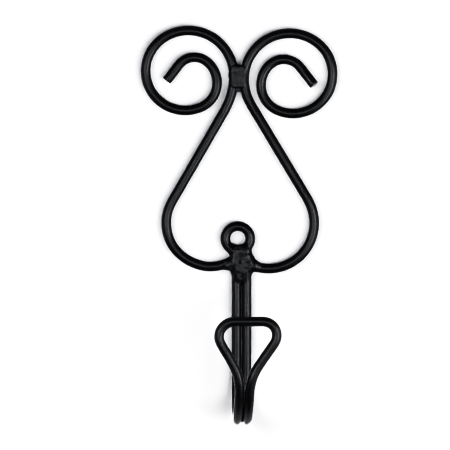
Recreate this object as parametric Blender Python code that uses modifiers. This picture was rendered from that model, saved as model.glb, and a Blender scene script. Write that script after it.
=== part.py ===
"""Wrought-iron scroll wall hook.

Four lengths of round bar, bent cold and welded: two scrolls that mirror each other, a
hairpin that makes both shanks and the hook, and a small eye loop for the wall screw.

Frame: +Z is up as it hangs, the wall is the plane Y = 0, and the hook stands out along -Y.
The origin is the centre of the screw eye, on the wall.
"""

import math

import bmesh
import bpy
from mathutils import Vector

MM = 0.001

# Driving dimensions
BAR_DIAMETER = 4.8 * MM
BAR_RADIUS = BAR_DIAMETER / 2
BAR_PLANE = -BAR_RADIUS              # Y of the bars' centre lines: their backs touch the wall
SHANK_LINE = 1.9 * MM                # X of the line between the two shanks
SHANK_HALF_SPACING = 2.5 * MM
SHANK_TOP = -12.0 * MM               # the shanks end inside the centre weld
EYE_RADIUS = 6.3 * MM
EYE_GAP_TURN = 24.0                  # the loop's two ends stop this many degrees apart

# Hairpin hook
HOOK_RADIUS = 23.25 * MM             # U bend, seen from the side
HOOK_BOTTOM = -92.2 * MM             # lowest point of the centre line
HOOK_LEAN = 3.3                      # the hook's front leans to the right, in degrees
LEG_RUN = 27.7 * MM                  # from the lowest point to where the two legs part
LEG_SPREAD_RADIUS = 26.0 * MM
LEG_SPREAD = 33.0
LEG_STRAIGHT = 12.4 * MM
BOW_CORNER_RADIUS = 7.3 * MM

# Scrolls
FOOT_END = 6.6 * MM                  # from the shank line to the end of each scroll's foot
TAIL_LIFT = 1.5 * MM                 # the right tail's end stands this far off the wall

# Welds
WELD_GAP = 0.3 * MM                  # between a weld and the bars it joins, and between welds
WELD_FRONT = -6.0 * MM
WELD_MIDDLE = -2.6 * MM
NECK_LEVEL = -9.0 * MM               # the eye's weld is above this height
FOOT_WELD_INNER = 5.25 * MM          # from the shank line to the inner face of a foot weld
FOOT_WELD_RADIUS = 4.3 * MM
FOOT_WELD_RISE = 0.6 * MM            # a foot weld's middle is this far above the foot's end
NECK_WELD_CENTRE_X = 1.2 * MM
NECK_WELD_WIDE = 6.6 * MM            # half of its width, where it meets the shank weld
NECK_WELD_HIGH = 5.9 * MM            # it just fills the bottom of the eye's hole
SHANK_WELD_MIDDLE = -11.5 * MM
SHANK_WELD_WIDE = 8.0 * MM
SHANK_WELD_HIGH = 10.0 * MM
WAIST_CENTRE = Vector((0.4 * MM, 0, 82.0 * MM))
WAIST_PAD = Vector((7.6 * MM, 3.2 * MM, 11.4 * MM))
WAIST_EDGE = 1.2 * MM

# Fineness
TURN_STEP = 10.0
BAR_BEVEL_RESOLUTION = 4             # 12 sides

PAINT = (0.020, 0.020, 0.022, 1.0)


def straight(length, pieces=1):
    """One straight run of a bar, cut into equal pieces."""
    return ("straight", length, pieces)


def bend(radius, turn):
    """One bend of a bar: a positive turn in degrees goes anticlockwise."""
    return ("bend", radius, turn)


# Each scroll, from its foot in the centre weld out round the lobe, up the leg, past the
# waist and round the ring to its tail, as drawn for the left side turned to face right.
SCROLLS = {
    "left": {
        "side": -1,
        "foot_height": -13.5 * MM,
        "foot_heading": -12.0,
        "tail_lift": 0.0,
        "bends": (
            straight(1.6 * MM),
            bend(27.0 * MM, 43.0),
            bend(21.5 * MM, 89.0),
            straight(53.5 * MM),
            bend(34.5 * MM, -30.0),
            bend(23.0 * MM, -123.0),
            bend(20.0 * MM, -171.0),
            bend(13.5 * MM, -121.0),
            bend(10.0 * MM, -88.0),
            straight(10.0 * MM, 4),
        ),
    },
    "right": {
        "side": 1,
        "foot_height": -14.1 * MM,
        "foot_heading": -16.0,
        "tail_lift": TAIL_LIFT,
        "bends": (
            straight(0.8 * MM),
            bend(23.0 * MM, 90.0),
            bend(23.5 * MM, 47.0),
            straight(55.5 * MM),
            bend(25.0 * MM, -39.0),
            bend(23.0 * MM, -119.0),
            bend(20.0 * MM, -165.0),
            bend(14.0 * MM, -114.0),
            bend(10.5 * MM, -96.0),
            straight(11.5 * MM, 4),
        ),
    },
}


def clear_scene():
    for item in list(bpy.data.objects):
        bpy.data.objects.remove(item, do_unlink=True)


def make_collection(name):
    collection = bpy.data.collections.new(name)
    bpy.context.scene.collection.children.link(collection)
    return collection


def paint_material(name, roughness):
    """Satin black paint over steel."""
    material = bpy.data.materials.new(name)
    material.use_nodes = True
    shader = material.node_tree.nodes["Principled BSDF"]
    shader.inputs["Base Color"].default_value = PAINT
    shader.inputs["Roughness"].default_value = roughness
    shader.inputs["Metallic"].default_value = 0.0
    return material


def bend_outline(start, heading, bends):
    """Flat centre line of a bar that follows a list of straights and bends."""
    points = [Vector(start)]
    angle = math.radians(heading)
    for kind, size, amount in bends:
        if kind == "straight":
            ahead = Vector((math.cos(angle), math.sin(angle)))
            last = points[-1]
            for step in range(1, amount + 1):
                points.append(last + ahead * size * step / amount)
            continue
        turn = math.radians(amount)
        side = math.copysign(size, turn)
        centre = points[-1] + side * Vector((-math.sin(angle), math.cos(angle)))
        steps = max(1, math.ceil(abs(amount) / TURN_STEP))
        for step in range(1, steps + 1):
            now = angle + turn * step / steps
            points.append(centre + side * Vector((math.sin(now), -math.cos(now))))
        angle += turn
    return points


def scroll_path(scroll):
    """Centre line of one scroll, flat against the wall but for a lifted tail."""
    start = (FOOT_END, scroll["foot_height"])
    outline = bend_outline(start, scroll["foot_heading"], scroll["bends"])
    path = [
        Vector((SHANK_LINE + scroll["side"] * point.x, BAR_PLANE, point.y))
        for point in outline
    ]
    tail_pieces = scroll["bends"][-1][2]
    for step, point in enumerate(path[-tail_pieces:], start=1):
        point.y -= scroll["tail_lift"] * (step / tail_pieces) ** 2
    return path


def side_profile(run):
    """Point (Y, Z) of the hook's side view, run metres past its lowest point."""
    quarter = HOOK_RADIUS * math.pi / 2
    centre_y = BAR_PLANE - HOOK_RADIUS
    centre_z = HOOK_BOTTOM + HOOK_RADIUS
    if abs(run) >= quarter:
        y = centre_y - math.copysign(HOOK_RADIUS, run)
        return y, centre_z + abs(run) - quarter
    angle = run / HOOK_RADIUS
    return centre_y - HOOK_RADIUS * math.sin(angle), centre_z - HOOK_RADIUS * math.cos(angle)


def hook_path():
    """Centre line of the hairpin: shank, U bend, bow, U bend, shank.

    It is drawn unrolled, across by along, and then laid round the side profile. Past the
    lowest point each part of it sits further to the right, which is the hook's lean.
    """
    quarter = HOOK_RADIUS * math.pi / 2
    shank = SHANK_TOP - HOOK_BOTTOM - HOOK_RADIUS
    across = LEG_SPREAD_RADIUS * (1 - math.cos(math.radians(LEG_SPREAD)))
    across += LEG_STRAIGHT * math.sin(math.radians(LEG_SPREAD))
    corner = SHANK_HALF_SPACING + across
    corner -= BOW_CORNER_RADIUS * math.cos(math.radians(LEG_SPREAD))
    half = [
        straight(shank),
        straight(quarter + LEG_RUN, 16),
        bend(LEG_SPREAD_RADIUS, LEG_SPREAD),
        straight(LEG_STRAIGHT, 2),
        bend(BOW_CORNER_RADIUS, -90.0 - LEG_SPREAD),
        straight(corner),
    ]
    start = (-SHANK_HALF_SPACING, -shank - quarter)
    left = bend_outline(start, 90.0, half)
    right = [Vector((-point.x, point.y)) for point in reversed(left)]
    path = []
    for point in left + right[1:]:
        aside = max(point.y, 0.0) * math.tan(math.radians(HOOK_LEAN))
        y, z = side_profile(point.y)
        path.append(Vector((SHANK_LINE + point.x + aside, y, z)))
    return path


def eye_path():
    """Centre line of the screw eye: a ring whose two ends meet the neck weld."""
    turn = 360.0 - EYE_GAP_TURN
    start_angle = math.radians(EYE_GAP_TURN / 2 - 90.0)
    start = Vector((math.cos(start_angle), math.sin(start_angle))) * EYE_RADIUS
    outline = bend_outline(start, EYE_GAP_TURN / 2, (bend(EYE_RADIUS, turn),))
    return [Vector((point.x, BAR_PLANE, point.y)) for point in outline]


def bar_curve(name, path, radius):
    """Round bar along a path, as a curve with filled ends."""
    curve = bpy.data.curves.new(name, "CURVE")
    curve.dimensions = "3D"
    curve.bevel_depth = radius
    curve.bevel_resolution = BAR_BEVEL_RESOLUTION
    curve.use_fill_caps = True
    spline = curve.splines.new("POLY")
    spline.points.add(len(path) - 1)
    for control, point in zip(spline.points, path):
        control.co = (*point, 1.0)
        control.radius = 1.0
    return bpy.data.objects.new(name, curve)


def add_bar(name, path, collection):
    item = bar_curve(name, path, BAR_RADIUS)
    item.data.materials.append(paint_material(name + "_paint", 0.42))
    collection.objects.link(item)


def hide_cutter(item):
    item.hide_render = True
    item.display_type = "WIRE"


def bar_cutter(name, path, collection):
    """Bar grown by the weld gap all round, as a closed mesh that can cut a weld."""
    grown = [point.copy() for point in path]
    grown[0] += (path[0] - path[1]).normalized() * WELD_GAP
    grown[-1] += (path[-1] - path[-2]).normalized() * WELD_GAP
    curve_item = bar_curve(name + "_curve", grown, BAR_RADIUS + WELD_GAP)
    collection.objects.link(curve_item)
    graph = bpy.context.evaluated_depsgraph_get()
    mesh = bpy.data.meshes.new_from_object(curve_item.evaluated_get(graph))
    edit = bmesh.new()
    edit.from_mesh(mesh)
    bmesh.ops.remove_doubles(edit, verts=edit.verts, dist=0.001 * MM)
    bmesh.ops.recalc_face_normals(edit, faces=edit.faces)
    edit.to_mesh(mesh)
    edit.free()
    cutter = bpy.data.objects.new(name, mesh)
    cutter.matrix_world = curve_item.matrix_world
    collection.objects.link(cutter)
    bpy.data.objects.remove(curve_item, do_unlink=True)
    hide_cutter(cutter)
    return cutter


def box_object(name, low, high, collection):
    """Box between two opposite corners."""
    mesh = bpy.data.meshes.new(name)
    edit = bmesh.new()
    bmesh.ops.create_cube(edit, size=1.0)
    size = high - low
    bmesh.ops.scale(edit, vec=size, verts=edit.verts)
    edit.to_mesh(mesh)
    edit.free()
    item = bpy.data.objects.new(name, mesh)
    item.location = (low + high) / 2
    collection.objects.link(item)
    return item


def weld_lump(name, centre, radii, collection):
    """Rounded lump of weld metal."""
    mesh = bpy.data.meshes.new(name)
    edit = bmesh.new()
    bmesh.ops.create_uvsphere(edit, u_segments=24, v_segments=14, radius=1.0)
    bmesh.ops.scale(edit, vec=radii, verts=edit.verts)
    edit.to_mesh(mesh)
    edit.free()
    mesh.shade_smooth()
    mesh.materials.append(paint_material(name + "_paint", 0.5))
    item = bpy.data.objects.new(name, mesh)
    item.location = centre
    collection.objects.link(item)
    return item


def boolean(item, cutter, operation):
    cut = item.modifiers.new(operation.lower() + "_" + cutter.name, "BOOLEAN")
    cut.operation = operation
    cut.solver = "EXACT"
    cut.object = cutter


def add_centre_weld(name, centre, radii, cell, bars, collections):
    """Lump held inside a cell, with the bars that it joins cut out of it."""
    parts, cutters = collections
    lump = weld_lump(name, Vector(centre), Vector(radii), parts)
    keep = box_object(name + "_cell", Vector(cell[0]), Vector(cell[1]), cutters)
    hide_cutter(keep)
    boolean(lump, keep, "INTERSECT")
    for bar in bars:
        boolean(lump, bar, "DIFFERENCE")


def add_centre_welds(cutters_by_bar, collections):
    """The weld that joins eye, shanks and both feet, laid as four beads."""
    mid_y = WELD_MIDDLE
    depth = mid_y - WELD_FRONT
    beyond = 20.0 * MM               # past every weld, so that a cell is open that way
    lower = NECK_LEVEL - WELD_GAP
    inner = FOOT_WELD_INNER
    middle = inner - WELD_GAP
    add_centre_weld(
        "eye_neck_weld",
        (NECK_WELD_CENTRE_X, mid_y, NECK_LEVEL),
        (NECK_WELD_WIDE, depth, NECK_WELD_HIGH),
        ((-beyond, -beyond, NECK_LEVEL), (beyond, 0, beyond)),
        [cutters_by_bar["eye"]],
        collections,
    )
    add_centre_weld(
        "shank_weld",
        (SHANK_LINE, mid_y, SHANK_WELD_MIDDLE),
        (SHANK_WELD_WIDE, depth, SHANK_WELD_HIGH),
        ((SHANK_LINE - middle, -beyond, -2 * beyond), (SHANK_LINE + middle, 0, lower)),
        [cutters_by_bar["left_shank"], cutters_by_bar["right_shank"]],
        collections,
    )
    for side_name, side in (("left", -1), ("right", 1)):
        height = SCROLLS[side_name]["foot_height"] + FOOT_WELD_RISE
        near = SHANK_LINE + side * inner
        far = SHANK_LINE + side * beyond
        add_centre_weld(
            side_name + "_foot_weld",
            (near, mid_y, height),
            (FOOT_WELD_RADIUS, depth, FOOT_WELD_RADIUS),
            ((min(near, far), -beyond, -2 * beyond), (max(near, far), 0, lower)),
            [cutters_by_bar[side_name]],
            collections,
        )


def add_waist_weld(cutters_by_bar, collections):
    """Flat pad of weld over the groove where the two scrolls touch."""
    parts, cutters = collections
    half = WAIST_PAD / 2
    centre = WAIST_CENTRE + Vector((0, BAR_PLANE - half.y, 0))
    pad = box_object("waist_weld", centre - half, centre + half, parts)
    edges = pad.modifiers.new("rounded_edges", "BEVEL")
    edges.width = WAIST_EDGE
    edges.segments = 3
    boolean(pad, cutters_by_bar["left"], "DIFFERENCE")
    boolean(pad, cutters_by_bar["right"], "DIFFERENCE")
    pad.data.materials.append(paint_material("waist_weld_paint", 0.5))


def build():
    clear_scene()
    parts = make_collection("scroll_wall_hook")
    cutters = make_collection("cutters")
    paths = {
        "left": scroll_path(SCROLLS["left"]),
        "right": scroll_path(SCROLLS["right"]),
        "hook": hook_path(),
        "eye": eye_path(),
    }
    add_bar("left_scroll_bar", paths["left"], parts)
    add_bar("right_scroll_bar", paths["right"], parts)
    add_bar("hook_bar", paths["hook"], parts)
    add_bar("eye_loop", paths["eye"], parts)
    joined = {name: paths[name] for name in ("left", "right", "eye")}
    joined["left_shank"] = paths["hook"][:2]
    joined["right_shank"] = paths["hook"][-2:]
    grown = {name: bar_cutter(name + "_cutter", path, cutters) for name, path in joined.items()}
    add_centre_welds(grown, (parts, cutters))
    add_waist_weld(grown, (parts, cutters))


build()
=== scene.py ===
"""Scroll wall hook in black paint: bent round bars, weld beads, a pale wall and soft light."""

import math

import bmesh
import bpy
import numpy as np
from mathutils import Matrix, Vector, noise


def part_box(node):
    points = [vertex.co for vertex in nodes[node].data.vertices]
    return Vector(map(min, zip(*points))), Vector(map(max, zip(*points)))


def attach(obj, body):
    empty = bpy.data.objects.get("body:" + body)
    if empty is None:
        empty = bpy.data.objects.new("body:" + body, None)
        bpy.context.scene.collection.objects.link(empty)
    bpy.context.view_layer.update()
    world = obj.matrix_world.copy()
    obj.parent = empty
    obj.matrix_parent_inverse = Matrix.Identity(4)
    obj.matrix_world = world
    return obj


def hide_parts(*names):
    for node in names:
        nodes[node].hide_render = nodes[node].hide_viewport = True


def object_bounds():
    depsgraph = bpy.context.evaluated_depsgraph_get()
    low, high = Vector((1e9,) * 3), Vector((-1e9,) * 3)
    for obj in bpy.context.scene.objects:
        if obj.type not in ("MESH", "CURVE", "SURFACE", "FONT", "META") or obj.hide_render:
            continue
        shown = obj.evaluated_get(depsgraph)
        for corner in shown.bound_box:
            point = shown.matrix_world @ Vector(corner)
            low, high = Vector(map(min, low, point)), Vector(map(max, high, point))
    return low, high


MM = 0.001
ACROSS, OUT, UP = range(3)           # the axes: along the wall, out from it, and up it
TINY = 1e-9                          # keeps a division away from nought

# CAD bars
CAP_SIDES = 12                       # sides of a CAD bar
CAP_FLATNESS = 0.99999               # cosine between two faces of one flat end, at least
CAP_ROUNDNESS = 1.02                 # a flat end's furthest corner over its nearest, at most
MERGE_GAP = 0.002 * MM               # CAD corners nearer than this are one corner

# Bars
BAR_SOFTENING = {                    # how far the corners of each centre line are blurred
    "left_scroll_bar": 1.8 * MM,
    "right_scroll_bar": 1.8 * MM,
    "hook_bar": 1.8 * MM,
    "eye_loop": 0.7 * MM,
}
BLUR_REACHES = 4                     # a blur is cut off at this many times its reach
RING_SIDES = 36
RING_SPACING = 0.8 * MM
FIRST_SIDE = (0.3, 1.0, 0.2)         # a direction that no bar starts out in
CUT_EDGE = 0.55 * MM                 # rounding of a cut end
CUT_STEPS = 5
CUT_FACE = ((0.0, 0.5), (-0.02 * MM, 0.2))      # (distance from the end, share of the radius)
BAR_UNEVEN = 0.035 * MM
LONG_WAVE = 7 * MM
SHORT_WAVE = 2.5 * MM
SHORT_WAVE_SHARE = 0.4
SEED_STEP = 11.0                     # sets the unevenness of one bar apart from the next
PAINT_COAT = 0.06 * MM               # paint over the bare bar
FOOT_LIFT = 0.85 * MM                # the left foot is drawn up into its weld
FOOT_REACH = 12 * MM
FOOT_PLACE = (0.5, 0.4, 0.5)         # where it is lifted most, as shares of the weld's box

# Weld skins
SKIN_STEP = 0.28 * MM
SKIN_SINK = 0.06 * MM                # past its edge a weld runs on this far under the bar
SKIN_BAND = 1.0 * MM                 # a weld is only worked out in full this near to its limit
SEAM_REACH = 1.3 * MM                # one weld runs on this far under the next
SEAM_SLOPE = 0.2                     # and sinks this steeply as it does
SLOPE_STEP = 0.05 * MM               # half of the span a slope is measured over
SETTLE_ROUNDS = 2
SETTLE_REACH = 0.4 * SKIN_STEP       # the furthest that a corner moves in a round
LEAST_STEEP = 0.05                   # the least squared slope that a move is worked out from
ROUGH_FADE = 0.5 * MM                # roughness fades out this near to a bar
ROUGH_SEED = 3.0

# Centre welds. A blob is (CAD weld, place as shares of its box, half sizes in mm, corner
# radius in mm), and one without a corner radius is an ellipsoid.
CENTRE_BLOBS = (
    ("eye_neck_weld", (0.505, 0.47, 0.30), (5.3, 2.7, 2.9), 2.2),       # under the eye
    ("eye_neck_weld", (0.43, 0.45, 0.70), (3.6, 1.9, 1.6), 1.0),        # in the eye's foot
    ("shank_weld", (0.5, 0.48, 0.70), (5.3, 3.0, 5.4), 2.95),           # over both shanks
    ("shank_weld", (0.5, 0.55, 0.20), (3.2, 2.0, 3.2), None),           # down between them
    ("left_foot_weld", (0.75, 0.48, 0.54), (2.7, 2.6, 2.9), 2.2),
    ("right_foot_weld", (0.25, 0.48, 0.5), (2.6, 2.7, 2.6), 2.2),
    ("right_foot_weld", (-0.25, 0.45, 0.85), (2.0, 2.1, 2.7), None),    # shoulder
)
CENTRE_MIDDLE = (0.5, 0.4, 0.6)      # shares of the shank weld's box
CENTRE_BARS = 22 * MM                # bars further off than this don't count
CENTRE_BLEND = 2.2 * MM
CENTRE_FILLET = 2.2 * MM
CENTRE_REACH = 2.2 * MM              # the furthest that metal runs out along a bar
CENTRE_MARGIN = (4.5 * MM, 1.5 * MM, 4.5 * MM)
CENTRE_ROUGHNESS = ((3.4 * MM, 0.22 * MM), (1.5 * MM, 0.11 * MM), (0.7 * MM, 0.05 * MM))
PIT = ("eye_neck_weld", (0.40, 1.0, 0.68), (1.9, 1.5, 0.55), None)
PIT_BLEND = 0.5 * MM
SPATTER = (                          # drops of metal, as shares of the shank weld's box
    (-0.27, 0.84, 0.66),
    (0.12, 0.98, 0.62),
    (0.45, 0.99, 0.80),
    (1.17, 0.84, 0.60),
    (0.90, 0.93, 0.42),
)
SPATTER_SIZE = (0.6, 0.5, 0.5)
SPATTER_BLEND = 0.5 * MM

# Waist weld
PAD_PLACE = (0.48, 0.22, 0.50)
PAD_HALF = (3.7 * MM, 2.0 * MM, 5.7 * MM)
PAD_CORNER = 2.3 * MM
PAD_EDGE = 0.6 * MM
PAD_HOLLOW = ("waist_weld", (0.47, 0.5, 1.30), (3.0, 9.0, 4.0), None)
HOLLOW_BLEND = 0.7 * MM
WAIST_BUMP = ("waist_weld", (-0.05, -0.05, 0.56), (1.1, 1.8, 1.9), None)
WAIST_WEB = ("waist_weld", (0.50, -0.05, 0.42), (1.1, 1.4, 7.0), 0.8)
WAIST_MIDDLE = (0.5, 0.5, 0.5)
WAIST_BARS = 20 * MM
WAIST_BLEND = 0.6 * MM
WAIST_FILLET = 0.8 * MM
WAIST_REACH = 1.2 * MM
WAIST_MARGIN = (3.5 * MM, 3.0 * MM, 3.0 * MM)
WAIST_ROUGHNESS = ((3.0 * MM, 0.06 * MM), (1.0 * MM, 0.03 * MM))

# Paint
PAINT_DEEP = (0.0028, 0.0032, 0.0042)
PAINT_SHALLOW = (0.0060, 0.0064, 0.0082)
PAINT_WORN = (0.035, 0.034, 0.034)
PAINT_SPECULAR = 0.45
CLOUD_SIZE = 5.0 * MM
CLOUD_DETAIL = 3.0
CLOUD_ROUGHNESS = (0.25, 0.34)
CLOUD_RELIEF = 3.0                   # relief of the clouds over that of the grain
GRAIN_SIZE = 0.8 * MM
GRAIN_DETAIL = 4.0
GRAIN_ROUGHNESS = (-0.03, 0.05)
SCUFF_SIZE = 2.2 * MM
SCUFF_DETAIL = 6.0
SCUFF_RANGE = (0.60, 0.74)           # only the peaks of this pattern are worn
USUAL_RANGE = (0.3, 0.7)             # where most of a pattern's values lie

# Studio
CAMERA_DISTANCE = 3.0
CAMERA_FIELD = 227.4 * MM            # width of the view where the object is
CAMERA_ASIDE = -7.10 * MM
CAMERA_UP = 0.45 * MM
CAMERA_NEAR = 0.1
CAMERA_FAR = 12.0
WHITE_POINT = 0.85
TONE_POINTS = ((0.128, 0.043), (0.33, 0.227), (0.65, 0.74))
WALL_COLOUR = (0.93, 0.92, 0.91, 1.0)
WALL_ROUGHNESS = 0.9
WALL_GAP = 0.15 * MM
WALL_HALF_WIDTH = 2.5
WALL_TOP = 1.6
FLOOR_LEVEL = -0.9
FLOOR_DEPTH = 1.8
COVE_RADIUS = 0.4
COVE_STEPS = 12
PATCH_MARGIN = 17 * MM
ROOM_COLOUR = (0.80, 0.80, 0.81, 1.0)
ROOM_RADIUS = 7.0
ROOM_FINENESS = 4
SKY_COLOUR = (0.9, 0.93, 1.0, 1.0)
SKY_STRENGTH = 0.04
LIGHT_COLOUR = (0.96, 0.97, 1.0)
# A light is (name, degrees to the right of the front, degrees up, distance, size, power).
MATT_LIGHTS = (                      # these cast shadows and don't show in the gloss
    ("right_light", 38, -8, 1.6, (0.9, 0.8), 11.0),
    ("shadow_light", 15, -14, 1.6, (0.55, 0.4), 5.9),
    ("left_light", -30, 8, 1.6, (0.8, 0.7), 9.3),
    ("fill_light", -8, 25, 2.0, (1.6, 1.2), 2.5),
)
GLOSS_LIGHTS = (                     # these show in the gloss and don't reach matt surfaces
    ("right_shine", 42, -3, 0.5, (0.24, 0.32), 1.7),
    ("right_core", 24, 6, 0.8, (0.08, 0.14), 0.7),
    ("left_shine", -28, 6, 1.2, (0.5, 0.4), 4.8),
    ("front_shine", 0, -4, 1.2, (0.45, 0.42), 2.5),
    ("right_side", 88, -5, 1.0, (0.7, 0.8), 2.0),
    ("left_side", -88, -5, 1.0, (0.7, 0.8), 1.3),
    ("low_shine", 50, -33, 1.0, (0.5, 0.4), 1.0),
)
BACK_LIGHT = ("back_light", 184, -8, 1.5, (1.1, 1.1), 18)


def eased(share):
    """Share from 0 to 1 that starts and ends gently."""
    return share * share * (3 - 2 * share)


def spot(node_name, across, out, up):
    """Point in a CAD node's box, by shares of its width, its depth from the wall and its height."""
    low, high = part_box(node_name)
    return np.array((
        low.x + (high.x - low.x) * across,
        high.y + (low.y - high.y) * out,
        low.z + (high.z - low.z) * up,
    ))


def new_mesh(name, verts, faces):
    """Smooth mesh from corners and faces."""
    mesh = bpy.data.meshes.new(name)
    mesh.from_pydata([tuple(vert) for vert in verts], [], faces)
    mesh.shade_smooth()
    return mesh


def new_object(name, data):
    """Object in the scene that holds a mesh, a camera or a light."""
    item = bpy.data.objects.new(name, data)
    bpy.context.scene.collection.objects.link(item)
    return item


# Bars, from the CAD bars

def merged_copy(node):
    """Editable copy of a CAD node's mesh, with the corners its faces share made one."""
    edit = bmesh.new()
    edit.from_mesh(node.data)
    bmesh.ops.remove_doubles(edit, verts=edit.verts, dist=MERGE_GAP)
    edit.verts.index_update()
    return edit


def in_order(corners):
    """Corners by number, so that a sum over them comes out the same each run."""
    return sorted(corners, key=lambda vert: vert.index)


def find_cap(edit):
    """Corners of one flat end of a bar."""
    for face in edit.faces:
        patch = {face}
        border = [face]
        while border:
            current = border.pop()
            for edge in current.edges:
                for other in edge.link_faces:
                    if other not in patch and other.normal.dot(face.normal) > CAP_FLATNESS:
                        patch.add(other)
                        border.append(other)
        corners = in_order({vert for item in patch for vert in item.verts})
        if len(corners) != CAP_SIDES:
            continue
        reach = corner_reach(corners)
        if max(reach) < CAP_ROUNDNESS * min(reach):
            return corners
    raise ValueError("bar without a flat end")


def corner_reach(corners):
    """Distance of each corner of a flat end from its middle."""
    middle = sum((vert.co for vert in corners), Vector()) / CAP_SIDES
    return [(vert.co - middle).length for vert in corners]


def trace_bar(node):
    """Centre line of a CAD bar, from the middle of each ring of its corners."""
    edit = merged_copy(node)
    ring = find_cap(edit)
    seen = set(ring)
    line = []
    while ring:
        line.append(np.mean([vert.co for vert in ring], axis=0))
        ahead = {edge.other_vert(vert) for vert in ring for edge in vert.link_edges}
        ring = in_order(ahead - seen)
        seen.update(ring)
    edit.free()
    return np.array(line)


def bar_radius(node):
    """Radius of a CAD bar, measured at its flat end."""
    edit = merged_copy(node)
    radius = max(corner_reach(find_cap(edit)))
    edit.free()
    return radius


def even_line(points, spacing):
    """The same line with its points an even distance apart."""
    steps = np.linalg.norm(np.diff(points, axis=0), axis=1)
    run = np.concatenate([[0.0], np.cumsum(steps)])
    count = max(2, int(round(run[-1] / spacing)) + 1)
    wanted = np.linspace(0.0, run[-1], count)
    return np.stack([np.interp(wanted, run, points[:, axis]) for axis in range(3)], axis=1)


def blur_line(points, reach):
    """Line blurred over reach points, carried straight on past both ends."""
    extra = int(BLUR_REACHES * reach)
    steps = np.arange(extra, 0, -1)[:, None]
    before = points[0] - steps * (points[1] - points[0])
    after = points[-1] + steps[::-1] * (points[-1] - points[-2])
    long_line = np.concatenate([before, points, after])
    offsets = np.arange(-extra, extra + 1)
    weights = np.exp(-0.5 * (offsets / reach) ** 2)
    weights /= weights.sum()
    axes = [np.convolve(long_line[:, axis], weights, mode="valid") for axis in range(3)]
    return np.stack(axes, axis=1)


def smooth_line(points, reach):
    """Rounds the corners of a line and gives back most of what blurring takes off a bend."""
    blurred = blur_line(points, reach)
    return blurred + blur_line(points - blurred, reach)


def drawn_up(line, centre, reach, rise):
    """Line lifted by up to rise as it comes near a point."""
    nearness = np.clip(1.0 - np.linalg.norm(line - centre, axis=1) / reach, 0.0, 1.0)
    lifted = line.copy()
    lifted[:, UP] += rise * eased(nearness)
    return lifted


def ring_frames(line):
    """Tangent and two side directions at each point, with as little twist as possible."""
    tangents = np.gradient(line, axis=0)
    tangents /= np.linalg.norm(tangents, axis=1)[:, None]
    side = np.cross(tangents[0], FIRST_SIDE)
    sides = []
    for tangent in tangents:
        side = side - tangent * np.dot(side, tangent)
        side /= np.linalg.norm(side)
        sides.append(side)
    sides = np.array(sides)
    return tangents, sides, np.cross(tangents, sides)


def cut_end_profile(radius):
    """(distance from the end, radius) from the rounded edge of a cut end to its middle."""
    profile = []
    for step in range(1, CUT_STEPS + 1):
        turn = math.radians(90.0 * step / CUT_STEPS)
        inset = CUT_EDGE * (1 - math.sin(turn))
        profile.append((inset, radius - CUT_EDGE * (1 - math.cos(turn))))
    for inset, share in CUT_FACE:
        profile.append((inset, radius * share))
    return profile


def bar_rings(line, radius):
    """(centre, side, up, radius) of each ring of a bar, with both of its cut ends."""
    tangents, sides, ups = ring_frames(line)
    trimmed = int(round(CUT_EDGE / RING_SPACING)) + 1
    rings = []
    for index in range(trimmed, len(line) - trimmed):
        rings.append((line[index], sides[index], ups[index], radius))
    for inset, size in cut_end_profile(radius):
        rings.insert(0, (line[0] + tangents[0] * inset, sides[0], ups[0], size))
        rings.append((line[-1] - tangents[-1] * inset, sides[-1], ups[-1], size))
    return rings


def unevenness(where, seed):
    """Long and short waves in the surface of a bar."""
    long_wave = noise.noise(where / LONG_WAVE + Vector((seed, 0, 0)))
    short_wave = noise.noise(where / SHORT_WAVE + Vector((0, seed, 0)))
    return long_wave + SHORT_WAVE_SHARE * short_wave


def ring_corners(rings, radius, seed):
    """Corners of all rings, and where each would be if the bar were straight and even."""
    angles = np.linspace(0.0, 2 * math.pi, RING_SIDES, endpoint=False)
    verts = []
    places = []
    run = 0.0
    previous = rings[0][0]
    for centre, side, up, size in rings:
        run += float(np.linalg.norm(centre - previous))
        previous = centre
        for angle in angles:
            outward = side * math.cos(angle) + up * math.sin(angle)
            uneven = unevenness(Vector(centre + outward * radius), seed)
            verts.append(centre + outward * (size + BAR_UNEVEN * uneven * size / radius))
            places.append((radius * math.cos(angle), radius * math.sin(angle), run))
    return verts, places


def tube_faces(ring_count):
    """Faces from each ring to the next, and one over each end."""
    faces = []
    for ring in range(ring_count - 1):
        for step in range(RING_SIDES):
            after = (step + 1) % RING_SIDES
            faces.append((
                ring * RING_SIDES + step,
                ring * RING_SIDES + after,
                (ring + 1) * RING_SIDES + after,
                (ring + 1) * RING_SIDES + step,
            ))
    start = range(RING_SIDES)
    end = [(ring_count - 1) * RING_SIDES + step for step in start]
    faces.append(tuple(reversed(start)))
    faces.append(tuple(end))
    return faces


def bar_mesh(name, line, radius, seed):
    """Round bar along a line, a little uneven, with cut ends."""
    rings = bar_rings(line, radius)
    verts, places = ring_corners(rings, radius, seed)
    mesh = new_mesh(name, verts, tube_faces(len(rings)))
    place = mesh.attributes.new("bar_place", "FLOAT_VECTOR", "POINT")
    place.data.foreach_set("vector", np.array(places, np.float32).ravel())
    return mesh


def add_bar(node_name, node, softening, seed, material):
    """Piece that stands for a CAD bar."""
    line = even_line(trace_bar(node), RING_SPACING)
    line = smooth_line(line, softening / RING_SPACING)
    if node_name == "left_scroll_bar":
        line = drawn_up(line, spot("left_foot_weld", *FOOT_PLACE), FOOT_REACH, FOOT_LIFT)
    radius = bar_radius(node)
    line[:, OUT] = np.minimum(line[:, OUT], -radius)
    name = node_name + "_visual"
    mesh = bar_mesh(name, line, radius + PAINT_COAT, seed)
    mesh.materials.append(material)
    piece = new_object(name, mesh)
    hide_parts(node_name)
    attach(piece, "root")
    return line


# Weld shapes: each is a function from points to their distance outside the shape

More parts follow.
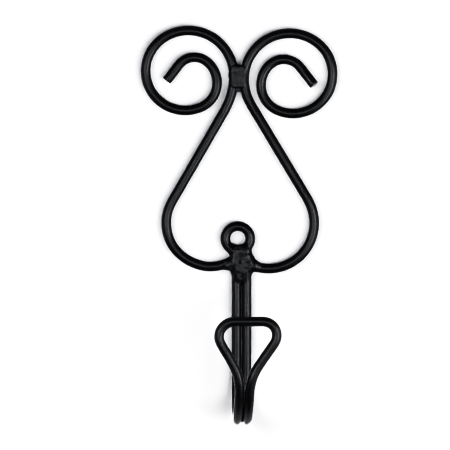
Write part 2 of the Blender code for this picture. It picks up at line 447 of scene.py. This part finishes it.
def smooth_join(first, second, blend):
    """Union of two shapes with a hollow fillet about blend wide between them."""
    share = np.clip(0.5 + 0.5 * (second - first) / blend, 0.0, 1.0)
    return second + (first - second) * share - blend * share * (1 - share)


def distance_to_line(points, line):
    """Distance from each point to a line of short straight pieces."""
    nearest = np.full(len(points), np.inf)
    for start, end in zip(line[:-1], line[1:]):
        along = end - start
        share = np.clip((points - start) @ along / (along @ along), 0.0, 1.0)
        gap = points - start - share[:, None] * along
        nearest = np.minimum(nearest, np.einsum("ij,ij->i", gap, gap))
    return np.sqrt(nearest)


def lump(centre, half, corner):
    """Rounded box."""
    inner = np.array(half) - corner

    def distance(points):
        beyond = np.abs(points - centre) - inner
        outside = np.linalg.norm(np.maximum(beyond, 0.0), axis=1)
        return outside + np.minimum(beyond.max(axis=1), 0.0) - corner

    return distance


def plate(centre, half, corner, edge):
    """Plate that lies along the wall, with round corners and a small round edge."""
    size = np.array(half)

    def distance(points):
        beyond = np.abs(points - centre) - size
        across = beyond[:, (ACROSS, UP)] + corner
        outline = np.linalg.norm(np.maximum(across, 0.0), axis=1)
        outline += np.minimum(across.max(axis=1), 0.0) - corner
        both = np.stack([outline + edge, beyond[:, OUT] + edge], axis=1)
        outside = np.linalg.norm(np.maximum(both, 0.0), axis=1)
        return outside + np.minimum(both.max(axis=1), 0.0) - edge

    return distance


def bead(centre, radii):
    """Ellipsoid."""
    size = np.array(radii)

    def distance(points):
        scaled = (points - centre) / size
        length = np.linalg.norm(scaled, axis=1)
        steep = np.linalg.norm(scaled / size, axis=1)
        return length * (length - 1.0) / np.maximum(steep, TINY)

    return distance


def blob(weld, place, half, corner):
    """Rounded box, or ellipsoid if it has no corner radius, in a CAD weld's box."""
    centre = spot(weld, *place)
    size = [length * MM for length in half]
    if corner is None:
        return bead(centre, size)
    return lump(centre, size, corner * MM)


def half_space(axis, level, side):
    """What lies past a level along one axis: above it for side 1, below it for side -1."""

    def distance(points):
        return (level - points[:, axis]) * side

    return distance


def joined(shapes, blend):
    """Shapes run together."""

    def distance(points):
        result = shapes[0](points)
        for shape in shapes[1:]:
            result = smooth_join(result, shape(points), blend)
        return result

    return distance


def hollowed(shape, pit, blend):
    """Shape with a soft-edged pit taken out of it."""

    def distance(points):
        return -smooth_join(-shape(points), pit(points), blend)

    return distance


def near_parts(line, centre, reach):
    """Runs of a line that pass within reach of a point."""
    close = np.linalg.norm(line - centre, axis=1) < reach
    parts = []
    current = []
    for point, keep in zip(line, close):
        if keep:
            current.append(point)
        elif current:
            parts.append(np.array(current))
            current = []
    if current:
        parts.append(np.array(current))
    return [part for part in parts if len(part) > 1]


def bars_field(lines, bar_size, centre, reach):
    """The bars near a point, each a little thinner than it is shown."""
    parts = [part for line in lines for part in near_parts(line, centre, reach)]
    radius = bar_size - SKIN_SINK

    def distance(points):
        return np.minimum.reduce([distance_to_line(points, part) for part in parts]) - radius

    return distance


def weld_metal(blobs, bars, fillet, reach):
    """Blobs run onto the bars with a fillet, up to a reach past the blobs."""

    def distance(points):
        weld = blobs(points)
        result = weld - reach
        near = result < SKIN_BAND
        together = smooth_join(weld[near], bars(points[near]), fillet)
        result[near] = np.maximum(together, result[near])
        return result

    return distance


def kept_within(metal, cuts):
    """Metal up to some cuts, past which it sinks as it runs on under its neighbour."""

    def distance(points):
        result = metal(points)
        for cut in cuts:
            beyond = cut(points)
            sunk = result + SEAM_SLOPE * np.maximum(beyond, 0.0)
            result = np.maximum(sunk, beyond - SEAM_REACH)
        return result

    return distance


# Weld meshes, from the shapes

def sample_grid(field, low, high):
    """Points of a grid over a box, and a field's value at each."""
    counts = [int(math.ceil((high[axis] - low[axis]) / SKIN_STEP)) + 1 for axis in range(3)]
    axes = [low[axis] + SKIN_STEP * np.arange(counts[axis]) for axis in range(3)]
    grid = np.stack(np.meshgrid(*axes, indexing="ij"), axis=-1)
    return grid, field(grid.reshape(-1, 3)).reshape(counts)


def cell_corner(offset, cells):
    """Slices that take the same corner of every grid cell."""
    return tuple(slice(offset[axis], offset[axis] + cells[axis]) for axis in range(3))


def cell_points(grid, values):
    """Middle of the crossings in each cell that the surface crosses, and the cells' numbers."""
    cells = [count - 1 for count in values.shape]
    total = np.zeros((*cells, 3))
    crossings = np.zeros(cells)
    for axis in range(3):
        others = [other for other in range(3) if other != axis]
        for first in (0, 1):
            for second in (0, 1):
                offset = [0, 0, 0]
                offset[others[0]] = first
                offset[others[1]] = second
                here = cell_corner(offset, cells)
                offset[axis] = 1
                beyond = cell_corner(offset, cells)
                near, far = values[here], values[beyond]
                crossed = (near < 0) != (far < 0)
                share = np.where(crossed, near / np.where(crossed, near - far, 1.0), 0.0)
                crossing = grid[here] + share[..., None] * (grid[beyond] - grid[here])
                total += np.where(crossed[..., None], crossing, 0.0)
                crossings += crossed
    active = crossings > 0
    number = np.full(cells, -1)
    number[active] = np.arange(active.sum())
    return total[active] / crossings[active][:, None], number


def cell_faces(values, number):
    """Outward face over each grid edge that the surface crosses, through the cells around it."""
    faces = []
    for axis in range(3):
        second, third = (axis + 1) % 3, (axis + 2) % 3
        others = [other for other in range(3) if other != axis]
        ahead = np.moveaxis(values, axis, 0)
        for start in np.argwhere((ahead[:-1] < 0) != (ahead[1:] < 0)):
            edge = [0, 0, 0]
            edge[axis] = start[0]
            edge[others[0]] = start[1]
            edge[others[1]] = start[2]
            if edge[second] == 0 or edge[third] == 0:
                continue
            corners = []
            for back, aside in ((1, 1), (0, 1), (0, 0), (1, 0)):
                cell = list(edge)
                cell[second] -= back
                cell[third] -= aside
                corners.append(int(number[tuple(cell)]))
            if values[tuple(edge)] >= 0:
                corners.reverse()
            faces.append(corners)
    return faces


def slope(points, field):
    """Gradient of a field."""
    rates = []
    for axis in range(3):
        shift = np.zeros(3)
        shift[axis] = SLOPE_STEP
        rates.append((field(points + shift) - field(points - shift)) / (2 * SLOPE_STEP))
    return np.stack(rates, axis=1)


def settle(points, field):
    """Moves corners onto the surface itself, never further than part of a grid cell."""
    for _ in range(SETTLE_ROUNDS):
        rates = slope(points, field)
        steep = np.maximum(np.einsum("ij,ij->i", rates, rates), LEAST_STEEP)
        move = -(field(points) / steep)[:, None] * rates
        length = np.linalg.norm(move, axis=1)
        move *= np.minimum(1.0, SETTLE_REACH / np.maximum(length, TINY))[:, None]
        points = points + move
    return points


def surface_mesh(name, field, low, high):
    """Closed mesh where a field is zero, one corner in each grid cell that it crosses."""
    grid, values = sample_grid(field, low, high)
    points, number = cell_points(grid, values)
    return new_mesh(name, settle(points, field), cell_faces(values, number))


def roughen(mesh, bars, waves):
    """Uneven surface on weld metal, fading out where it meets a bar, and flat at the wall."""
    points = np.array([vert.co for vert in mesh.vertices])
    normals = np.array([vert.normal for vert in mesh.vertices])
    share = eased(np.clip(bars(points) / ROUGH_FADE, 0.0, 1.0))
    for index, point in enumerate(points):
        push = 0.0
        for wave, height in waves:
            push += height * noise.noise(Vector(point / wave) + Vector((ROUGH_SEED, ROUGH_SEED, 0)))
        points[index] += normals[index] * push * share[index]
    points[:, OUT] = np.minimum(points[:, OUT], 0.0)
    mesh.vertices.foreach_set("co", points.astype(np.float32).ravel())
    mesh.update()


def add_weld(node_name, field, bars, margin, waves, material):
    """Piece that stands for a CAD weld, up to a margin past the weld's box."""
    name = node_name + "_visual"
    low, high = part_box(node_name)
    mesh = surface_mesh(name, field, np.array(low) - margin, np.array(high) + margin)
    roughen(mesh, bars, waves)
    mesh.materials.append(material)
    piece = new_object(name, mesh)
    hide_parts(node_name)
    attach(piece, "root")


def centre_cuts():
    """The cuts that part the centre weld into its four CAD welds."""
    neck_low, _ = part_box("eye_neck_weld")
    shank_low, shank_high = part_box("shank_weld")
    _, left_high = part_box("left_foot_weld")
    right_low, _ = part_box("right_foot_weld")
    level = (neck_low.z + shank_high.z) / 2
    left_side = (left_high.x + shank_low.x) / 2
    right_side = (right_low.x + shank_high.x) / 2
    below = half_space(UP, level, -1)
    return {
        "shank_weld": (below, half_space(ACROSS, left_side, 1), half_space(ACROSS, right_side, -1)),
        "eye_neck_weld": (half_space(UP, level, 1),),
        "left_foot_weld": (below, half_space(ACROSS, left_side, -1)),
        "right_foot_weld": (below, half_space(ACROSS, right_side, 1)),
    }


def add_centre_welds(lines, bar_size, material):
    """The run of weld over the eye's foot, the shank tops and both scroll feet."""
    middle = spot("shank_weld", *CENTRE_MIDDLE)
    bars = bars_field(lines.values(), bar_size, middle, CENTRE_BARS)
    blobs = joined([blob(*row) for row in CENTRE_BLOBS], CENTRE_BLEND)
    spatter = [blob("shank_weld", place, SPATTER_SIZE, None) for place in SPATTER]
    blobs = joined([blobs, *spatter], SPATTER_BLEND)
    blobs = hollowed(blobs, blob(*PIT), PIT_BLEND)
    metal = weld_metal(blobs, bars, CENTRE_FILLET, CENTRE_REACH)
    for name, cuts in centre_cuts().items():
        field = kept_within(metal, cuts)
        add_weld(name, field, bars, np.array(CENTRE_MARGIN), CENTRE_ROUGHNESS, material)


def add_waist_weld(lines, bar_size, material):
    """Flat pad where the scrolls touch, with a hollow top edge and a web behind it."""
    middle = spot("waist_weld", *WAIST_MIDDLE)
    scrolls = [lines["left_scroll_bar"], lines["right_scroll_bar"]]
    bars = bars_field(scrolls, bar_size, middle, WAIST_BARS)
    pad = plate(spot("waist_weld", *PAD_PLACE), PAD_HALF, PAD_CORNER, PAD_EDGE)
    pad = hollowed(pad, blob(*PAD_HOLLOW), HOLLOW_BLEND)
    blobs = joined([pad, blob(*WAIST_BUMP), blob(*WAIST_WEB)], WAIST_BLEND)
    metal = weld_metal(blobs, bars, WAIST_FILLET, WAIST_REACH)
    add_weld("waist_weld", metal, bars, np.array(WAIST_MARGIN), WAIST_ROUGHNESS, material)


# Paint

def add_noise(tree, place, size, detail):
    """Cloudy pattern with patches about one size, taken from a place on the surface."""
    pattern = tree.nodes.new("ShaderNodeTexNoise")
    pattern.inputs["Scale"].default_value = 1.0 / size
    pattern.inputs["Detail"].default_value = detail
    tree.links.new(place, pattern.inputs["Vector"])
    return pattern.outputs["Fac"]


def add_range(tree, value, source, target):
    """Value stretched from one range to another."""
    stretch = tree.nodes.new("ShaderNodeMapRange")
    stretch.inputs["From Min"].default_value = source[0]
    stretch.inputs["From Max"].default_value = source[1]
    stretch.inputs["To Min"].default_value = target[0]
    stretch.inputs["To Max"].default_value = target[1]
    tree.links.new(value, stretch.inputs["Value"])
    return stretch.outputs["Result"]


def add_mix(tree, share, first, second):
    """Colour between two colours, or between a pattern's colour and a colour."""
    mix = tree.nodes.new("ShaderNodeMix")
    mix.data_type = "RGBA"
    tree.links.new(share, mix.inputs["Factor"])
    for socket, colour in ((mix.inputs["A"], first), (mix.inputs["B"], second)):
        if isinstance(colour, tuple):
            socket.default_value = (*colour, 1.0)
        else:
            tree.links.new(colour, socket)
    return mix.outputs["Result"]


def add_sum(tree, first, second):
    """Two values added."""
    total = tree.nodes.new("ShaderNodeMath")
    total.operation = "ADD"
    tree.links.new(first, total.inputs[0])
    tree.links.new(second, total.inputs[1])
    return total.outputs[0]


def add_bump(tree, height, depth, below):
    """Relief of a given depth, laid over another relief if there is one."""
    bump = tree.nodes.new("ShaderNodeBump")
    bump.inputs["Distance"].default_value = depth
    tree.links.new(height, bump.inputs["Height"])
    if below is not None:
        tree.links.new(below, bump.inputs["Normal"])
    return bump.outputs["Normal"]


def paint_place(tree, attribute):
    """Where on the surface: along and around the bar if it has that, or else in space."""
    if attribute:
        place = tree.nodes.new("ShaderNodeAttribute")
        place.attribute_name = attribute
        return place.outputs["Vector"]
    place = tree.nodes.new("ShaderNodeTexCoord")
    return place.outputs["Object"]


def stretched(tree, place, along):
    """Place squeezed along the bar, so that patterns on it are drawn out."""
    squeeze = tree.nodes.new("ShaderNodeMapping")
    squeeze.inputs["Scale"].default_value = (1.0, 1.0, 1.0 / along)
    tree.links.new(place, squeeze.inputs["Vector"])
    return squeeze.outputs["Vector"]


def black_paint(name, attribute, along, worn, relief):
    """Satin black brushed-on paint: uneven gloss, fine relief, and thin worn patches."""
    material = bpy.data.materials.new(name)
    material.use_nodes = True
    tree = material.node_tree
    shader = tree.nodes["Principled BSDF"]
    shader.inputs["Specular IOR Level"].default_value = PAINT_SPECULAR
    place = paint_place(tree, attribute)
    drawn = stretched(tree, place, along)
    cloud = add_noise(tree, drawn, CLOUD_SIZE, CLOUD_DETAIL)
    grain = add_noise(tree, place, GRAIN_SIZE, GRAIN_DETAIL)
    scuff = add_noise(tree, drawn, SCUFF_SIZE, SCUFF_DETAIL)

    depth = add_range(tree, cloud, USUAL_RANGE, (0.0, 1.0))
    shade = add_mix(tree, depth, PAINT_DEEP, PAINT_SHALLOW)
    wear = add_range(tree, scuff, SCUFF_RANGE, (0.0, worn))
    colour = add_mix(tree, wear, shade, PAINT_WORN)
    tree.links.new(colour, shader.inputs["Base Color"])

    broad = add_range(tree, cloud, USUAL_RANGE, CLOUD_ROUGHNESS)
    fine = add_range(tree, grain, USUAL_RANGE, GRAIN_ROUGHNESS)
    tree.links.new(add_sum(tree, broad, fine), shader.inputs["Roughness"])

    normal = add_bump(tree, cloud, relief * CLOUD_RELIEF, None)
    normal = add_bump(tree, grain, relief, normal)
    tree.links.new(normal, shader.inputs["Normal"])
    return material


# Studio

def empty_material(name):
    """Material with only an output in it."""
    material = bpy.data.materials.new(name)
    material.use_nodes = True
    tree = material.node_tree
    tree.nodes.clear()
    return material, tree, tree.nodes.new("ShaderNodeOutputMaterial")


def wall_material():
    """Pale paper that only shows its front, so that the object's back can be looked at."""
    material, tree, output = empty_material("pale_wall")
    mix = tree.nodes.new("ShaderNodeMixShader")
    side = tree.nodes.new("ShaderNodeNewGeometry")
    paper = tree.nodes.new("ShaderNodeBsdfPrincipled")
    clear = tree.nodes.new("ShaderNodeBsdfTransparent")
    paper.inputs["Base Color"].default_value = WALL_COLOUR
    paper.inputs["Roughness"].default_value = WALL_ROUGHNESS
    tree.links.new(side.outputs["Backfacing"], mix.inputs[0])
    tree.links.new(paper.outputs[0], mix.inputs[1])
    tree.links.new(clear.outputs[0], mix.inputs[2])
    tree.links.new(mix.outputs[0], output.inputs["Surface"])
    return material


def room_material():
    """Even pale glow."""
    material, tree, output = empty_material("pale_room")
    glow = tree.nodes.new("ShaderNodeEmission")
    glow.inputs["Color"].default_value = ROOM_COLOUR
    tree.links.new(glow.outputs[0], output.inputs["Surface"])
    return material


def sheet_mesh(name, strips):
    """Mesh from strips of (x, y, z) corners, each strip joined to the next."""
    verts = [corner for strip in strips for corner in strip]
    width = len(strips[0])
    faces = []
    for row in range(len(strips) - 1):
        for step in range(width - 1):
            left = row * width + step
            faces.append((left, left + width, left + width + 1, left + 1))
    return new_mesh(name, verts, faces)


def add_backdrop_piece(name, strips, material):
    """Part of the wall or floor, which casts no shadow."""
    mesh = sheet_mesh(name, strips)
    mesh.materials.append(material)
    piece = new_object(name, mesh)
    piece.visible_shadow = False
    return piece


def cove_profile():
    """(y, z) of the curve from wall to floor, and of the floor's front edge."""
    profile = [(0.0, FLOOR_LEVEL + COVE_RADIUS)]
    for step in range(1, COVE_STEPS + 1):
        turn = math.radians(90.0 * step / COVE_STEPS)
        forward = -COVE_RADIUS * (1 - math.cos(turn))
        profile.append((forward, FLOOR_LEVEL + COVE_RADIUS * (1 - math.sin(turn))))
    profile.append((-FLOOR_DEPTH, FLOOR_LEVEL))
    return profile


def add_wall(box):
    """Wall behind the object that curves forward into a floor below it.

    The gloss of the bars doesn't show the part right behind them, where the real wall
    lies in the dark between bar and wall.
    """
    low, high = box
    material = wall_material()
    left, right = low.x - PATCH_MARGIN, high.x + PATCH_MARGIN
    bottom, top = low.z - PATCH_MARGIN, high.z + PATCH_MARGIN
    sides = (-WALL_HALF_WIDTH, left, right, WALL_HALF_WIDTH)
    patch = [[(x, WALL_GAP, z) for x in (left, right)] for z in (top, bottom)]
    add_backdrop_piece("wall_patch", patch, material).visible_glossy = False
    above = [[(x, WALL_GAP, z) for x in sides] for z in (WALL_TOP, top)]
    add_backdrop_piece("wall_above", above, material)
    for name, ends in (("wall_left", sides[:2]), ("wall_right", sides[2:])):
        beside = [[(x, WALL_GAP, z) for x in ends] for z in (top, bottom)]
        add_backdrop_piece(name, beside, material)
    below = [[(x, WALL_GAP, z) for x in sides] for z in (bottom, FLOOR_LEVEL + COVE_RADIUS)]
    add_backdrop_piece("wall_below", below, material)
    floor = [[(x, y + WALL_GAP, z) for x in sides] for y, z in cove_profile()]
    add_backdrop_piece("floor", floor, material).visible_glossy = False


def add_room():
    """Pale round room far behind everything, there only to be looked at."""
    material = room_material()
    edit = bmesh.new()
    bmesh.ops.create_icosphere(edit, subdivisions=ROOM_FINENESS, radius=ROOM_RADIUS)
    mesh = bpy.data.meshes.new("room")
    edit.to_mesh(mesh)
    edit.free()
    mesh.materials.append(material)
    room = new_object("room", mesh)
    room.visible_diffuse = False
    room.visible_glossy = False
    room.visible_transmission = False
    room.visible_shadow = False


def add_world():
    """Faint cool light from all around."""
    world = bpy.data.worlds.new("room")
    world.use_nodes = True
    sky = world.node_tree.nodes["Background"]
    sky.inputs["Color"].default_value = SKY_COLOUR
    sky.inputs["Strength"].default_value = SKY_STRENGTH
    bpy.context.scene.world = world


def add_light(name, azimuth, elevation, distance, size, power):
    """Soft panel of light aimed at the object, which isn't itself seen."""
    data = bpy.data.lights.new(name, "AREA")
    data.shape = "RECTANGLE"
    data.size, data.size_y = size
    data.energy = power
    data.color = LIGHT_COLOUR
    light = new_object(name, data)
    around = math.radians(azimuth)
    above = math.radians(elevation)
    light.location = (
        distance * math.sin(around) * math.cos(above),
        -distance * math.cos(around) * math.cos(above),
        distance * math.sin(above),
    )
    light.rotation_mode = "QUATERNION"
    light.rotation_quaternion = (-Vector(light.location)).to_track_quat("-Z", "Y")
    light.visible_camera = False
    return light


def add_camera(box):
    """Square on to the wall, from so far off that nothing tapers, framed as the photo is."""
    low, high = box
    centre = (low + high) / 2
    data = bpy.data.cameras.new("camera")
    data.type = "ORTHO"
    data.ortho_scale = CAMERA_FIELD
    data.clip_start = CAMERA_NEAR
    data.clip_end = CAMERA_FAR
    camera = new_object("camera", data)
    camera.location = (centre.x + CAMERA_ASIDE, -CAMERA_DISTANCE, centre.z + CAMERA_UP)
    camera.rotation_euler = (math.radians(90.0), 0.0, 0.0)
    bpy.context.scene.camera = camera


def set_picture_tone():
    """Contrast of the photo: pale wall goes white, black paint stays deep."""
    view = bpy.context.scene.view_settings
    view.view_transform = "Standard"
    view.use_curve_mapping = True
    mapping = view.curve_mapping
    mapping.black_level = (0.0, 0.0, 0.0)
    mapping.white_level = (WHITE_POINT, WHITE_POINT, WHITE_POINT)
    all_colours = mapping.curves[3]
    for point in TONE_POINTS:
        all_colours.points.new(*point)
    mapping.update()


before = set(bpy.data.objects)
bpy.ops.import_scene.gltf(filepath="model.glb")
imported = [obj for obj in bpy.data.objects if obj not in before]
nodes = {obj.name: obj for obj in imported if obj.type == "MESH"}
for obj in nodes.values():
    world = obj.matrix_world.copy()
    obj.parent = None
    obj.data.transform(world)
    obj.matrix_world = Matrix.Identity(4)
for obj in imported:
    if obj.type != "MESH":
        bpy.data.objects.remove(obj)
cad_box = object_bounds()
bar_paint = black_paint("bar_paint", "bar_place", along=3.0, worn=0.35, relief=0.010 * MM)
weld_paint = black_paint("weld_paint", None, along=1.0, worn=0.9, relief=0.022 * MM)
lines = {}
for number, (bar, softening) in enumerate(BAR_SOFTENING.items(), 1):
    lines[bar] = add_bar(bar, nodes[bar], softening, SEED_STEP * number, bar_paint)
bar_size = bar_radius(nodes["hook_bar"]) + PAINT_COAT
add_centre_welds(lines, bar_size, weld_paint)
add_waist_weld(lines, bar_size, weld_paint)
add_wall(cad_box)
add_room()
add_world()
for light in MATT_LIGHTS:
    add_light(*light).visible_glossy = False
for light in GLOSS_LIGHTS:
    add_light(*light).visible_diffuse = False
add_light(*BACK_LIGHT)
add_camera(cad_box)
set_picture_tone()
